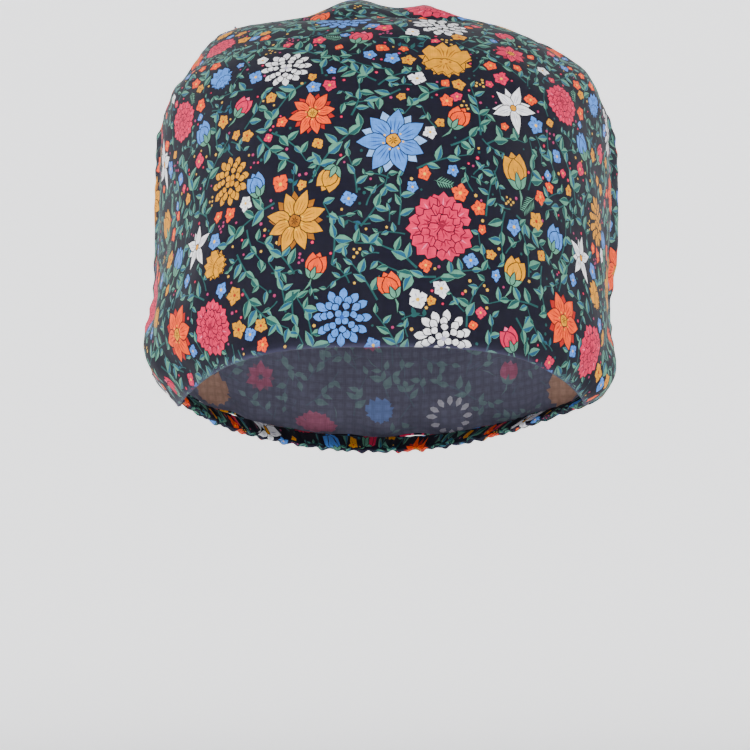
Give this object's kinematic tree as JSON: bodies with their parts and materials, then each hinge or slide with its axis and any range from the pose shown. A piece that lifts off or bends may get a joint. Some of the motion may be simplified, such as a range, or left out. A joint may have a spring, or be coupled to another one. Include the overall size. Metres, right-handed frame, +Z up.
{
  "type": "surgical scrub cap",
  "caption": "Soft cotton scrub cap in its worn form: a smooth panel over the forehead and crown, a gathered bag behind it and an elastic casing at the nape.",
  "frame": {"origin": "middle of the head opening, level with the middle of the front hem, where the head comes in", "axes": "+Z up through the crown, -Y towards the forehead, +X towards the wearer's left ear"},
  "size_m": [0.1746, 0.2073, 0.1668],
  "materials": {
    "front_cloth": "matt printed cotton poplin, navy ground with a small floral repeat",
    "back_cloth": "the same printed cotton poplin",
    "casing_cloth": "the same printed cotton poplin, folded over elastic"
  },
  "bodies": {
    "root": {"front_panel": "front_cloth", "back_panel": "back_cloth", "nape_casing": "casing_cloth"}
  },
  "joints": []
}
